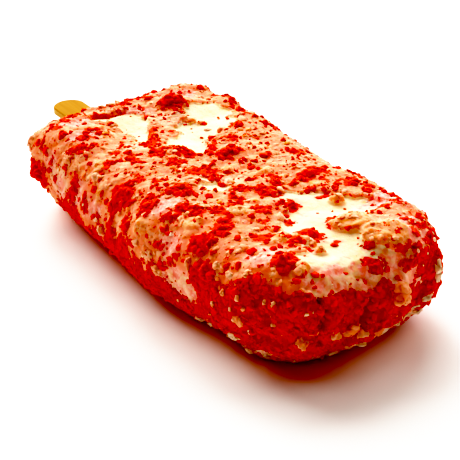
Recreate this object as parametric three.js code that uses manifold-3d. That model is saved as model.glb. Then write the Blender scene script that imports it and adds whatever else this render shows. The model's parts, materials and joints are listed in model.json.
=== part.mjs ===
// A freeze-dried ice cream bar, lying flat: a slab of ice cream in a coat of cake crumbs, on a flat wooden
// stick that shows at one end. Millimetres, +Z up. +X runs from the stick to the rounded tip.
import * as THREE from 'three';
import { ImprovedNoise } from 'three/addons/math/ImprovedNoise.js';
import { mergeVertices } from 'three/addons/utils/BufferGeometryUtils.js';
import Module from 'manifold-3d';

// Driving dimensions of the bar. The stick end is wider, thinner and squarer than the tip.
const BAR_LENGTH = 99;
const BAR_WIDTH = { stickEnd: 51, tip: 47.4 };
const BAR_HEIGHT = { stickEnd: 20.6, tip: 22 };
const CORNER_RADIUS = { stickEnd: 11, tip: 15 };
const TOP_EDGE_RADIUS = 9;
const BOTTOM_EDGE_RADIUS = 11;

// Driving dimensions of the stick. It lies level in the bar, on the bar's centre line.
const STICK_WIDTH = 8.2;
const STICK_THICKNESS = 1.8;
const STICK_END_DEPTH = 3.8;
const STICK_OUT = 24.5;
const STICK_IN = 49.5;
const STICK_CENTRE_HEIGHT = 9.3;
const STICK_BEVEL = 0.2;
const SLOT_GAP = 0.3;

// How fine the bar's surface is, and how far its corners reach in towards the middle.
const GRID_STEP = 2.3;
const CORNER_REACH = 10;
const MIDDLE_HALF_HEIGHT = 1;
const FOOT_SNAP = 0.05;

// The coat's unevenness: waves of two sizes, each with its length and its height.
const WAVES = [
  { length: 15, height: 0.35 },
  { length: 6.5, height: 0.35 },
];
// The waves and lumps fade out below this height, so that the underside stays flat.
const RELIEF_FADE = { from: 0.3, to: 4 };

// Lumps and hollows of the coat. along runs from -1 at the stick end to 1 at the tip, across from -1 to 1
// towards +Y, and up from 0 to 1. reach is the lump's radius, and rise how far it stands out.
const LUMPS = [
  // The stick end's lip, where the coat stands up in a ridge, and the big crumb cluster behind it.
  { along: -0.92, across: 0.52, up: 1, reach: 4, rise: 0.5 },
  { along: -0.86, across: 0.85, up: 0.9, reach: 6, rise: 1.4 },
  { along: -0.69, across: 0.36, up: 1, reach: 3.6, rise: 1.5 },
  // The +Y side bulges along its stick half and again at the tip's corner.
  { along: -0.35, across: 0.95, up: 0.8, reach: 17, rise: 1.3 },
  { along: 0.2, across: 0.95, up: 0.85, reach: 9, rise: -0.5 },
  { along: 0.9, across: 0.85, up: 0.35, reach: 6, rise: 1.1 },
  // The coat runs out thin low on both corners of the -Y side.
  { along: -0.9, across: -0.95, up: 0.2, reach: 11, rise: -1.6 },
  { along: 0.78, across: -0.95, up: 0.15, reach: 15, rise: -2 },
  { along: 1, across: 0.35, up: 0.2, reach: 8, rise: -1.4 },
  { along: -0.97, across: -0.85, up: 0.5, reach: 4, rise: 1 },
  { along: 0.22, across: -1, up: 0.15, reach: 13, rise: 1.3 },
  { along: -0.94, across: 0, up: 1, reach: 7, rise: -0.7 },
  // Hollows where the coat has come off the ice cream.
  { along: -0.55, across: -0.3, up: 1, reach: 5.5, rise: -0.9 },
  { along: -0.35, across: 0.15, up: 1, reach: 6, rise: -0.9 },
  { along: -0.5, across: 0.55, up: 1, reach: 6, rise: -0.8 },
  { along: 0.55, across: -0.02, up: 1, reach: 9, rise: -0.7 },
  { along: 0.78, across: -0.25, up: 1, reach: 8, rise: -0.6 },
  // Clusters of crumbs on the top.
  { along: -0.22, across: -0.22, up: 1, reach: 3.6, rise: 0.9 },
  { along: -0.08, across: 0.14, up: 1, reach: 3.6, rise: 0.8 },
  { along: 0.22, across: 0.5, up: 1, reach: 4.5, rise: 0.7 },
  { along: 0.68, across: -0.2, up: 1, reach: 3.4, rise: 1 },
  { along: 0.72, across: 0.23, up: 1, reach: 3.6, rise: 1.2 },
  { along: 0.86, across: 0.36, up: 0.97, reach: 3.8, rise: 1.3 },
  { along: 0.78, across: -0.6, up: 0.97, reach: 3.6, rise: 0.8 },
  // Clusters and hollows on the tip's end and along its lower rim.
  { along: 1, across: 0.26, up: 0.6, reach: 3.6, rise: 1.5 },
  { along: 1, across: 0.5, up: 0.62, reach: 4.5, rise: -1 },
  { along: 1, across: -0.28, up: 0.62, reach: 4, rise: -0.8 },
  { along: 0.98, across: -0.12, up: 0.34, reach: 3.4, rise: 1.3 },
  { along: 0.95, across: -0.6, up: 0.32, reach: 3.2, rise: 1.2 },
  { along: 0.98, across: 0.16, up: 0.33, reach: 3.2, rise: 1.2 },
  // Clusters and hollows along the -Y side.
  { along: 0.07, across: -1, up: 0.62, reach: 4, rise: 0.9 },
  { along: -0.3, across: -1, up: 0.4, reach: 5, rise: 0.7 },
  { along: 0.35, across: -1, up: 0.45, reach: 6, rise: -0.8 },
  { along: -0.6, across: -1, up: 0.5, reach: 8, rise: -0.6 },
];

const noise = new ImprovedNoise();

// How far along the bar x lies, from 0 at the stick end to 1 at the tip.
function share(x) {
  return THREE.MathUtils.clamp(x / BAR_LENGTH + 0.5, 0, 1);
}

function widthAt(x) {
  return THREE.MathUtils.lerp(BAR_WIDTH.stickEnd, BAR_WIDTH.tip, share(x));
}

function heightAt(x) {
  return THREE.MathUtils.lerp(BAR_HEIGHT.stickEnd, BAR_HEIGHT.tip, share(x));
}

// Distance from a corner shape of the radius given, where a and b run outwards from its two straight sides.
function roundedCorner(a, b, radius) {
  const outside = Math.hypot(Math.max(a, 0), Math.max(b, 0));
  return outside + Math.min(Math.max(a, b), 0) - radius;
}

// Distance outside the bar's outline, seen from above.
function outsidePlan(x, y) {
  const radius = x > 0 ? CORNER_RADIUS.tip : CORNER_RADIUS.stickEnd;
  const a = Math.abs(x) - (BAR_LENGTH / 2 - radius);
  const b = Math.abs(y) - (widthAt(x) / 2 - radius);
  return roundedCorner(a, b, radius);
}

// Distance outside the smooth bar, before its waves and lumps.
function outsideSmoothBar(x, y, z) {
  const upper = z > BOTTOM_EDGE_RADIUS;
  const radius = upper ? TOP_EDGE_RADIUS : BOTTOM_EDGE_RADIUS;
  const level = upper ? z - (heightAt(x) - radius) : radius - z;
  return roundedCorner(outsidePlan(x, y) + radius, level, radius);
}

// How far the waves and lumps move the surface out at a point.
function relief(x, y, z) {
  let out = 0;
  for (const { length, height } of WAVES) {
    out += 2 * height * noise.noise(x / length + 40, y / length + 40, z / length + 40);
  }
  for (const lump of LUMPS) {
    const cx = (lump.along * BAR_LENGTH) / 2;
    const cy = (lump.across * widthAt(cx)) / 2;
    const cz = lump.up * heightAt(cx);
    const away = Math.hypot(x - cx, y - cy, z - cz) / lump.reach;
    out += lump.rise * Math.exp(-away * away);
  }
  return out * THREE.MathUtils.smoothstep(z, RELIEF_FADE.from, RELIEF_FADE.to);
}

function inside(p) {
  return outsideSmoothBar(p.x, p.y, p.z) < relief(p.x, p.y, p.z);
}

// The bar: a box's grid of points, each sent out from the bar's flat middle until it meets the surface.
function barGeometry() {
  const width = Math.max(BAR_WIDTH.stickEnd, BAR_WIDTH.tip);
  const height = Math.max(BAR_HEIGHT.stickEnd, BAR_HEIGHT.tip);
  const steps = [BAR_LENGTH, width, height].map((size) => Math.round(size / GRID_STEP));
  const box = new THREE.BoxGeometry(BAR_LENGTH, width, height, ...steps);
  box.deleteAttribute('normal');
  box.deleteAttribute('uv');
  box.translate(0, 0, height / 2);
  const geometry = mergeVertices(box);
  const middle = new THREE.Box3(
    new THREE.Vector3(CORNER_REACH - BAR_LENGTH / 2, CORNER_REACH - width / 2, height / 2 - MIDDLE_HALF_HEIGHT),
    new THREE.Vector3(BAR_LENGTH / 2 - CORNER_REACH, width / 2 - CORNER_REACH, height / 2 + MIDDLE_HALF_HEIGHT),
  );
  const position = geometry.attributes.position;
  const corner = new THREE.Vector3();
  const start = new THREE.Vector3();
  const point = new THREE.Vector3();
  for (let i = 0; i < position.count; i += 1) {
    corner.fromBufferAttribute(position, i);
    middle.clampPoint(corner, start);
    const direction = corner.sub(start).normalize();
    let near = 0;
    let far = height;
    for (let halving = 0; halving < 30; halving += 1) {
      const half = (near + far) / 2;
      point.copy(start).addScaledVector(direction, half);
      if (inside(point)) near = half;
      else far = half;
    }
    position.setXYZ(i, point.x, point.y, point.z < FOOT_SNAP ? 0 : point.z);
  }
  return geometry;
}

// The stick's flat outline, grown by a margin: straight sides and two rounded ends.
function stickOutline(margin) {
  const half = STICK_WIDTH / 2 + margin;
  const depth = STICK_END_DEPTH + margin;
  const start = -BAR_LENGTH / 2 - STICK_OUT - margin + depth;
  const end = -BAR_LENGTH / 2 + STICK_IN + margin - depth;
  const outline = new THREE.Shape();
  outline.absellipse(start, 0, depth, half, Math.PI / 2, (3 * Math.PI) / 2, false);
  outline.absellipse(end, 0, depth, half, -Math.PI / 2, Math.PI / 2, false);
  outline.closePath();
  return outline;
}

// A flat board with the stick's outline, grown by a margin on every side.
function stickGeometry(margin, bevel) {
  const depth = STICK_THICKNESS + 2 * margin - 2 * bevel;
  const geometry = new THREE.ExtrudeGeometry(stickOutline(margin), {
    depth,
    curveSegments: 14,
    bevelEnabled: bevel > 0,
    bevelThickness: bevel,
    bevelSize: bevel,
    bevelOffset: -bevel,
    bevelSegments: 1,
  });
  geometry.translate(0, 0, STICK_CENTRE_HEIGHT - depth / 2);
  return geometry;
}

// A closed geometry as a solid that can be cut.
function solid(wasm, geometry) {
  const bare = geometry.clone();
  bare.deleteAttribute('normal');
  bare.deleteAttribute('uv');
  const merged = mergeVertices(bare, 1e-4);
  const vertProperties = new Float32Array(merged.attributes.position.array);
  const triVerts = new Uint32Array(merged.index.array);
  return new wasm.Manifold(new wasm.Mesh({ numProp: 3, vertProperties, triVerts }));
}

// A solid back as a geometry, with flat faces.
function geometryOf(body) {
  const mesh = body.getMesh();
  const indexed = new THREE.BufferGeometry();
  indexed.setAttribute('position', new THREE.BufferAttribute(mesh.vertProperties, 3));
  indexed.setIndex(new THREE.BufferAttribute(mesh.triVerts, 1));
  const geometry = indexed.toNonIndexed();
  geometry.computeVertexNormals();
  return geometry;
}

const wasm = await Module();
wasm.setup();

// The bar with the slot that the stick sits in.
function makeBar() {
  const slab = solid(wasm, barGeometry());
  const slot = solid(wasm, stickGeometry(SLOT_GAP, 0));
  const coat = new THREE.MeshStandardMaterial({ color: 0xd9603f, roughness: 0.95, metalness: 0 });
  const bar = new THREE.Mesh(geometryOf(slab.subtract(slot)), coat);
  bar.name = 'ice_cream_bar';
  return bar;
}

function makeStick() {
  const wood = new THREE.MeshStandardMaterial({ color: 0xdda02c, roughness: 0.7, metalness: 0 });
  const stick = new THREE.Mesh(stickGeometry(0, STICK_BEVEL), wood);
  stick.name = 'wooden_stick';
  return stick;
}

// The two pieces, moved so that the origin lies under the middle of them both, at the level they rest on.
function build() {
  const group = new THREE.Group();
  group.add(makeBar(), makeStick());
  const middle = new THREE.Box3().setFromObject(group).getCenter(new THREE.Vector3());
  group.children.forEach((mesh) => mesh.position.set(-middle.x, -middle.y, 0));
  return group;
}

export default build();
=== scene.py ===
"""The looks of a freeze-dried ice cream bar: ice cream, crumb coat, loose crumbs, wooden stick and a studio.

Every size below is in millimetres unless it says otherwise, and MM turns it into the scene's metres.
"""
import json
import math
from functools import partial

import bmesh
import bpy
import numpy as np
from bpy.props import FloatProperty, FloatVectorProperty, IntProperty, PointerProperty
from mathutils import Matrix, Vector, noise
from mathutils.bvhtree import BVHTree

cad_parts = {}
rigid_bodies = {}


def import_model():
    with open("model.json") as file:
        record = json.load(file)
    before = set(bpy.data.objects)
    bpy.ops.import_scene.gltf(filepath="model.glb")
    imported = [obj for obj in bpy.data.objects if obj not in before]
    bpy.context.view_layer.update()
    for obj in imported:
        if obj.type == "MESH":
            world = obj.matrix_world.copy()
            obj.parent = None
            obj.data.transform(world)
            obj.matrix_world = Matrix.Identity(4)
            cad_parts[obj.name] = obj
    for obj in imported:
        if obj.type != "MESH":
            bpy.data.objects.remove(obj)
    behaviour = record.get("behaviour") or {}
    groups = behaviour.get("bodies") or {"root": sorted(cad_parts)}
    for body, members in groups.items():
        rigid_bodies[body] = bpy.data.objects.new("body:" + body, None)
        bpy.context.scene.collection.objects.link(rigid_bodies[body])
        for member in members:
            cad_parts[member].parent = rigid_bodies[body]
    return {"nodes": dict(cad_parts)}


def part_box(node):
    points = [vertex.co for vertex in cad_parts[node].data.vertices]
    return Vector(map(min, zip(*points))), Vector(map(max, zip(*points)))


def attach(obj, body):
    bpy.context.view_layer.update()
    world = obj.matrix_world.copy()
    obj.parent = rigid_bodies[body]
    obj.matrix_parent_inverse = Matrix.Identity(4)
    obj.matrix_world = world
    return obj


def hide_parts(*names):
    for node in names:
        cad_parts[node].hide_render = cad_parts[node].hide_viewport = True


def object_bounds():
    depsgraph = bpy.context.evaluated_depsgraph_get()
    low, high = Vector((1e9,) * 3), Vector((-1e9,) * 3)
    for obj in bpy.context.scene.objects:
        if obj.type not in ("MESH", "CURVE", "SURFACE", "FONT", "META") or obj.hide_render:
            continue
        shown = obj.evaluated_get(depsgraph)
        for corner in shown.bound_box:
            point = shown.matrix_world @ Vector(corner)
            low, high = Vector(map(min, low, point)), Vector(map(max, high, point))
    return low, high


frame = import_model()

bl_info = {
    "name": "Freeze-dried ice cream bar",
    "version": (1, 0, 0),
    "blender": (4, 5, 0),
    "location": "3D View > Sidebar > Ice cream bar",
    "description": "Builds the bar's ice cream, crumbs, stick and studio around its CAD frame",
    "category": "Object",
}

CAD_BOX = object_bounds()
MM = 0.001
BAR_NODE = "ice_cream_bar"
STICK_NODE = "wooden_stick"
BODY = "root"

BAR_LOW, BAR_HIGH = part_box(BAR_NODE)
STICK_LOW, STICK_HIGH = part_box(STICK_NODE)
BAR_MIDDLE = (BAR_LOW + BAR_HIGH) / 2
BAR_HALF = (BAR_HIGH - BAR_LOW) / 2


# --- Colours -----------------------------------------------------------------------------------------------


def linear(hex_colour):
    """An sRGB hex colour as linear red, green and blue."""
    channels = [int(hex_colour[i : i + 2], 16) / 255 for i in (0, 2, 4)]
    return [c / 12.92 if c <= 0.04045 else ((c + 0.055) / 1.055) ** 2.4 for c in channels]


def colour(name, description, hex_colour):
    """A colour setting whose default is an sRGB hex colour."""
    return FloatVectorProperty(
        name=name, description=description, subtype="COLOR", default=linear(hex_colour)
    )


# --- Places on the bar -------------------------------------------------------------------------------------
# Each place lies on a face of the bar and starts with two numbers on it. On "top" they are along, from -1
# at the stick end to 1 at the tip, and across, from -1 to 1 towards +Y. On "side" (-Y) and "far_side" (+Y)
# they are along and the height from 0 to 1. On "tip" and "stick_end" they are across and the height. The
# two sizes after them are the place's half sizes: on the upright faces in the same two directions, and on
# top in the two directions turned TOP_TURN degrees from the bar's length.
TOP_TURN = 55.0
# Counts as outside every patch, in millimetres.
FAR_OUTSIDE = -9.0

# Where the coat has come off the ice cream.
BARE_PATCHES = {
    "top": [
        (-0.75, -0.34, 2.6, 1.4), (-0.7, -0.17, 4.4, 2.2), (-0.62, -0.15, 3.4, 3.4),
        (-0.5, -0.22, 1.8, 3.8), (-0.31, 0.0, 4.0, 4.4), (-0.22, 0.03, 2.2, 2.6), (-0.37, 0.25, 3.8, 3.4),
        (-0.45, 0.2, 3.2, 2.6), (-0.36, 0.12, 3.0, 3.0), (-0.4, 0.45, 4.0, 4.2), (-0.53, 0.5, 5.2, 4.8),
        (0.14, -0.29, 2.8, 2.0), (0.37, 0.11, 3.2, 2.2), (0.46, 0.17, 4.6, 4.2), (0.56, 0.1, 6.2, 5.2),
        (0.55, 0.42, 5.0, 3.0), (0.61, 0.48, 4.0, 2.8), (0.57, -0.1, 3.6, 4.4), (0.72, 0.03, 6.6, 4.6),
        (0.8, -0.04, 7.4, 4.2), (0.83, -0.24, 4.8, 3.6), (0.92, -0.44, 2.6, 2.2), (0.91, -0.1, 6.6, 3.4),
        (0.91, -0.32, 4.4, 3.0),
    ],
    "far_side": [(-0.55, 0.5, 4.0, 2.4)],
    "stick_end": [(0.55, 0.55, 3.4, 2.0)],
}
# The same on the upright faces, where the red crumbs lie matted round it.
BARE_AMONG_RED = {
    "tip": [
        (-0.38, 0.84, 1.8, 1.6), (-0.1, 0.84, 2.8, 1.2), (0.24, 0.86, 2.6, 1.0), (0.16, 0.76, 2.2, 1.8),
        (0.32, 0.66, 3.0, 2.4), (0.46, 0.5, 2.4, 2.4),
    ],
    "side": [(0.4, 0.46, 4.6, 3.0)],
}
# Where the coat is stained pink rather than tan.
PINK_PATCHES = {
    "side": [
        (0.4, 0.46, 6.4, 4.4), (0.31, 0.74, 4.0, 2.6), (-0.56, 0.5, 3.4, 2.4), (-0.66, 0.7, 2.4, 2.0),
        (-0.27, 0.56, 4.6, 2.2), (-0.42, 0.6, 3.2, 3.2),
    ],
    "top": [
        (0.13, -0.75, 3.6, 3.4), (0.7, -0.58, 4.0, 3.4), (0.9, -0.42, 4.0, 3.0), (0.93, -0.12, 8.0, 2.6),
        (0.88, 0.5, 5.0, 6.0), (0.64, 0.68, 7.0, 4.0), (-0.72, 0.0, 4.0, 1.8), (-0.62, -0.66, 3.6, 2.6),
        (-0.78, -0.6, 5.0, 2.0), (-0.8, 0.55, 4.0, 3.0),
    ],
    "tip": [
        (0.8, 0.7, 4.0, 5.0), (0.25, 0.82, 5.0, 2.4), (0.2, 0.74, 3.4, 3.0), (0.34, 0.62, 4.0, 3.6),
        (0.48, 0.48, 3.6, 3.4), (-0.36, 0.78, 3.4, 1.8), (-0.1, 0.76, 4.2, 1.8),
    ],
    "far_side": [(0.4, 0.6, 9.0, 4.0)],
}
# Where the coat is pale and thin over the ice cream.
PALE_PATCHES = {
    "side": [(-0.57, 0.56, 4.0, 4.6)],
    "top": [(-0.56, 0.15, 4.4, 4.0), (-0.4, -0.45, 4.0, 2.4), (0.1, -0.2, 4.4, 2.4)],
    "tip": [(0.65, 0.57, 1.8, 4.0), (0.56, 0.36, 2.4, 1.6)],
    "far_side": [(-0.1, 0.5, 8.0, 4.0)],
    "stick_end": [(-0.5, 0.6, 6.0, 4.0)],
}
# The pale fringe along the foot of the bar.
FRINGE_PATCHES = {
    "side": [(0.47, 0.14, 3.0, 1.3), (0.6, 0.12, 3.0, 1.2), (0.75, 0.13, 4.6, 1.3)],
    "tip": [(-0.44, 0.12, 4.0, 1.3), (-0.18, 0.2, 4.0, 1.2), (0.1, 0.26, 4.6, 1.2), (0.45, 0.2, 4.6, 1.3)],
}
# Soft golden mounds of biscuit on the coat.
GOLDEN_PATCHES = {
    "top": [
        (0.7, 0.2, 3.8, 2.8), (0.84, 0.28, 4.6, 3.2), (0.36, 0.39, 1.4, 1.4), (-0.66, -0.45, 1.8, 1.4),
        (-0.36, -0.77, 1.2, 2.0), (0.38, -0.38, 2.4, 1.6), (0.33, -0.18, 1.6, 1.2), (0.15, 0.2, 1.6, 1.4),
        (0.04, -0.03, 1.2, 1.0), (0.63, -0.37, 1.8, 1.2), (0.84, -0.46, 1.2, 1.4), (0.5, 0.35, 1.4, 0.9),
        (0.33, -0.72, 1.8, 1.4), (0.77, -0.2, 0.9, 0.8),
    ],
    "side": [
        (-0.87, 0.73, 1.6, 2.0), (-0.24, 0.71, 1.0, 2.0), (-0.18, 0.44, 1.4, 1.3), (0.12, 0.74, 1.7, 1.5),
    ],
    "tip": [(0.19, 0.61, 2.0, 2.2)],
}
# Where red crumbs lie matted together, each filled with crumbs.
RED_PATCHES = {
    "top": [
        (-0.66, 0.29, 2.8, 2.6), (-0.84, 0.28, 2.4, 1.1), (-0.85, 0.12, 2.0, 1.1), (-0.83, -0.08, 1.4, 1.0),
        (-0.73, 0.05, 0.9, 0.8), (-0.78, -0.3, 1.6, 0.6), (-0.48, -0.12, 0.9, 3.4),
        (-0.38, -0.25, 1.6, 1.5), (-0.27, -0.25, 1.4, 1.2), (-0.24, -0.36, 1.7, 1.4),
        (-0.13, -0.3, 2.0, 1.6), (-0.19, -0.11, 2.1, 1.6), (0.0, -0.23, 3.1, 1.8), (-0.24, 0.29, 0.7, 0.7),
        (-0.26, 0.22, 0.7, 0.7), (-0.17, 0.08, 1.1, 2.6), (-0.07, 0.1, 1.7, 2.4), (-0.07, 0.22, 1.1, 0.9),
        (-0.2, 0.33, 0.9, 1.8), (-0.32, 0.51, 1.4, 1.4), (-0.39, 0.73, 0.7, 0.7), (-0.39, -0.57, 0.8, 1.1),
        (0.09, -0.53, 2.2, 2.3), (-0.11, -0.68, 1.1, 1.0), (-0.04, -0.59, 1.0, 0.9),
        (0.22, -0.15, 2.5, 1.0), (0.29, -0.28, 1.4, 2.4), (0.3, 0.0, 2.8, 1.6), (0.23, 0.16, 0.8, 1.9),
        (0.18, 0.04, 1.1, 0.8), (0.29, 0.38, 1.9, 1.8), (0.28, 0.53, 1.8, 1.3), (0.37, 0.45, 0.7, 1.6),
        (0.3, 0.24, 0.7, 0.7), (0.03, 0.36, 1.0, 0.9), (0.07, 0.63, 1.4, 0.9), (0.43, 0.61, 1.8, 1.4),
        (0.49, 0.7, 0.7, 0.7), (0.66, 0.56, 1.2, 1.1), (0.7, 0.66, 1.2, 0.9), (0.43, 0.04, 1.4, 1.8),
        (0.52, -0.13, 0.8, 0.9), (0.63, -0.14, 1.7, 1.8), (0.68, -0.1, 1.5, 1.8), (0.61, 0.14, 1.2, 0.8),
        (0.66, 0.09, 0.8, 0.7), (0.45, 0.31, 0.8, 0.6), (0.38, 0.28, 0.8, 0.7), (0.41, -0.21, 1.5, 1.5),
        (0.48, -0.28, 0.7, 0.6), (0.59, -0.44, 2.1, 1.3), (0.67, -0.3, 1.3, 1.3), (0.74, -0.26, 0.8, 0.6),
        (0.76, -0.01, 0.5, 0.5), (0.78, -0.52, 2.2, 2.6), (0.23, -0.68, 1.6, 2.2), (0.3, -0.63, 1.0, 1.6),
        (0.44, -0.6, 2.0, 2.6), (0.44, -0.79, 3.0, 2.0), (0.35, -0.49, 1.7, 1.1), (0.84, 0.18, 0.9, 0.8),
        (0.85, 0.1, 0.8, 0.7), (0.93, 0.06, 2.2, 1.4), (0.91, 0.31, 1.8, 1.4), (0.84, 0.58, 1.2, 0.9),
        (0.88, 0.5, 0.9, 1.2), (0.9, 0.62, 1.4, 1.8), (0.8, 0.68, 1.6, 0.8), (0.93, 0.44, 1.0, 0.9),
        (-0.84, -0.52, 1.9, 0.9), (-0.79, -0.4, 1.0, 0.6), (-0.78, -0.75, 0.7, 1.2),
        (-0.66, -0.57, 0.7, 0.6), (-0.59, -0.66, 1.3, 0.9), (-0.55, -0.77, 1.5, 1.2),
        (-0.5, -0.66, 1.1, 0.6), (-0.34, -0.74, 1.6, 0.8), (-0.1, -0.84, 2.2, 3.4), (0.06, -0.8, 1.6, 2.4),
    ],
    "side": [
        (-0.77, 0.48, 4.2, 3.2), (-0.45, 0.65, 1.4, 0.9), (-0.45, 0.38, 4.2, 1.2), (-0.32, 0.54, 1.4, 1.1),
        (-0.12, 0.7, 1.6, 2.2), (0.02, 0.66, 1.8, 1.8), (-0.1, 0.5, 1.4, 1.6), (-0.02, 0.36, 3.0, 2.6),
        (0.06, 0.14, 4.6, 2.4), (-0.22, 0.2, 3.4, 2.2), (0.14, 0.4, 1.8, 1.6), (0.36, 0.68, 1.3, 1.2),
        (0.2, 0.34, 6.0, 1.6), (0.52, 0.7, 3.0, 2.2), (0.82, 0.5, 12.0, 7.0),
    ],
    "tip": [(-0.5, 0.5, 14.0, 6.0), (0.05, 0.45, 12.0, 5.6), (0.6, 0.4, 8.0, 5.0)],
}
# Single large clusters of red crumb: their place, their size across the surface and how far they stand up.
RED_LUMPS = {
    "top": [
        (-0.66, 0.3, 4.6, 3.6, 2.2), (0.65, -0.12, 3.4, 3.6, 1.8), (0.78, -0.52, 3.4, 3.4, 1.8),
        (0.43, 0.04, 2.2, 2.2, 1.5), (-0.07, 0.1, 2.6, 3.0, 1.5), (0.93, 0.06, 3.0, 2.2, 1.6),
    ],
    "side": [
        (-0.77, 0.5, 5.4, 4.4, 2.4), (-0.45, 0.65, 2.2, 1.8, 1.6), (0.54, 0.72, 4.0, 3.2, 1.6),
        (0.0, 0.36, 3.0, 3.0, 1.2),
    ],
    "far_side": [(0.2, 0.6, 5.0, 4.0, 2.0), (-0.62, 0.7, 4.4, 3.6, 2.0), (0.62, 0.5, 4.0, 4.6, 2.0)],
    "stick_end": [(-0.62, 0.62, 4.4, 4.0, 2.0), (0.4, 0.8, 5.0, 3.6, 2.0)],
}
# Single large pieces of biscuit, in the same way.
BISCUIT_LUMPS = {
    "top": [
        (0.72, -0.2, 1.8, 2.2, 1.0), (-0.38, 0.31, 2.2, 1.6, 0.6), (-0.85, -0.1, 3.8, 2.4, 1.6),
        (0.57, -0.82, 1.6, 2.0, 1.4), (0.72, -0.76, 2.2, 2.2, 1.4),
    ],
    "side": [
        (0.13, 0.62, 2.0, 1.6, 1.2), (0.2, 0.58, 3.2, 2.6, 1.4), (0.26, 0.48, 2.8, 2.4, 1.4),
        (-0.31, 0.8, 3.4, 2.6, 1.2), (-0.17, 0.44, 2.4, 2.2, 1.6), (-0.22, 0.5, 1.8, 1.2, 1.0),
        (-0.55, 0.77, 2.8, 3.0, 1.2), (-0.88, 0.7, 3.0, 4.0, 1.8), (0.44, 0.69, 1.8, 3.2, 1.2),
        (0.65, 0.79, 2.4, 1.6, 1.2), (0.65, 0.65, 1.4, 1.8, 1.0), (0.73, 0.68, 0.9, 1.6, 0.9),
        (0.74, 0.49, 2.4, 2.2, 1.6), (0.82, 0.71, 1.2, 1.2, 0.9), (0.86, 0.72, 1.2, 1.2, 0.9),
        (0.76, 0.62, 1.0, 1.1, 0.9), (0.6, 0.5, 1.2, 1.6, 1.0), (0.66, 0.42, 1.0, 1.0, 0.8),
        (0.7, 0.56, 0.9, 0.9, 0.8), (0.86, 0.54, 1.3, 1.2, 1.0), (0.56, 0.36, 0.9, 0.8, 0.8),
    ],
    "tip": [
        (-0.6, 0.42, 3.2, 3.0, 1.6), (-0.36, 0.41, 2.6, 2.2, 1.6), (-0.22, 0.4, 4.6, 3.2, 1.5),
        (-0.14, 0.36, 2.6, 2.2, 1.4), (0.0, 0.32, 2.8, 1.6, 1.4), (0.19, 0.61, 4.4, 4.8, 2.2),
    ],
    "far_side": [
        (-0.3, 0.55, 4.6, 4.2, 2.0), (0.45, 0.7, 5.0, 4.2, 2.0), (0.0, 0.35, 4.2, 3.4, 2.0),
        (-0.78, 0.45, 4.0, 4.6, 2.0),
    ],
    "stick_end": [(-0.3, 0.7, 4.6, 4.0, 2.0), (0.68, 0.4, 4.6, 4.6, 2.0), (0.0, 0.8, 3.8, 3.2, 2.0)],
}
# Single pale lumps of stained ice cream, in the same way: most of them are crumbled off along the foot of
# the bar.
PALE_LUMPS = {
    "side": [
        (0.44, 0.14, 3.0, 1.6, 1.6), (0.5, 0.14, 3.0, 1.8, 1.6), (0.67, 0.23, 2.6, 2.4, 1.8),
        (0.6, 0.12, 2.6, 1.6, 1.4), (0.66, 0.09, 1.6, 1.0, 1.0), (0.71, 0.1, 2.0, 1.4, 1.2),
        (0.76, 0.08, 2.4, 1.4, 1.2),
    ],
    "tip": [
        (-0.5, 0.08, 2.6, 1.2, 1.2), (-0.4, 0.1, 2.2, 1.4, 1.2), (-0.28, 0.14, 3.0, 1.2, 1.2),
        (-0.1, 0.22, 2.0, 1.0, 1.2), (0.1, 0.24, 3.4, 1.4, 1.2), (0.3, 0.2, 3.0, 1.2, 1.2),
        (0.46, 0.3, 2.4, 1.4, 1.2), (0.65, 0.58, 2.0, 5.4, 1.8), (0.55, 0.36, 3.2, 1.8, 1.4),
        (0.52, 0.2, 3.0, 1.6, 1.4),
    ],
}
# Lines along which the coat is raised, or cracked where the rise is negative: the stops, the half width,
# the rise.
SEAMS = [
    ("top", ((-0.8, -0.12), (-0.8, 0.15), (-0.78, 0.3)), 1.4, 0.5),
    ("top", ((-0.8, -0.4), (-0.765, -0.25), (-0.75, -0.1)), 0.45, -1.0),
    ("top", ((-0.9, -0.3), (-0.86, -0.2)), 1.5, 1.0),
    ("top", ((-0.84, 0.45), (-0.74, 0.73)), 4.5, -1.6),
    ("top", ((-0.68, 0.82), (-0.62, 0.85)), 3.5, 0.9),
    ("top", ((0.35, 0.74), (0.55, 0.8), (0.7, 0.73)), 4.0, 0.7),
    ("tip", ((0.72, 0.75), (0.86, 0.6)), 3.5, -0.6),
    ("top", ((0.93, -0.12), (0.96, -0.02)), 0.5, -0.6),
    ("tip", ((-0.46, 0.76), (-0.43, 0.66), (-0.5, 0.56)), 0.55, -2.0),
    ("tip", ((-0.5, 0.48), (-0.46, 0.34)), 0.5, -1.6),
    ("tip", ((-0.06, 0.62), (-0.12, 0.5), (-0.2, 0.36), (-0.26, 0.24)), 0.55, -2.2),
    ("side", ((-0.1, 0.8), (-0.06, 0.5), (-0.02, 0.3)), 0.8, -0.5),
    ("side", ((0.84, 0.62), (0.9, 0.4)), 0.5, -0.5),
]
# Each face of the bar: the way it is looked at, and which of the three axes its two numbers run along.
FACES = {
    "top": (Vector((0, 0, -1)), 0, 1),
    "side": (Vector((0, 1, 0)), 0, 2),
    "far_side": (Vector((0, -1, 0)), 0, 2),
    "tip": (Vector((-1, 0, 0)), 1, 2),
    "stick_end": (Vector((1, 0, 0)), 1, 2),
}


def place(tree, face, first, second):
    """The point and normal of the surface in tree at a place on the bar."""
    look, first_axis, second_axis = FACES[face]
    start = BAR_MIDDLE - look * 1.5 * BAR_HALF.length
    start[first_axis] = BAR_MIDDLE[first_axis] + first * BAR_HALF[first_axis]
    share = second if second_axis == 1 else 2 * second - 1
    start[second_axis] = BAR_MIDDLE[second_axis] + share * BAR_HALF[second_axis]
    point, normal, _, _ = tree.ray_cast(start, look)
    if point is None:
        raise RuntimeError(f"no surface at {face} {first} {second}")
    return point, normal


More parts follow.
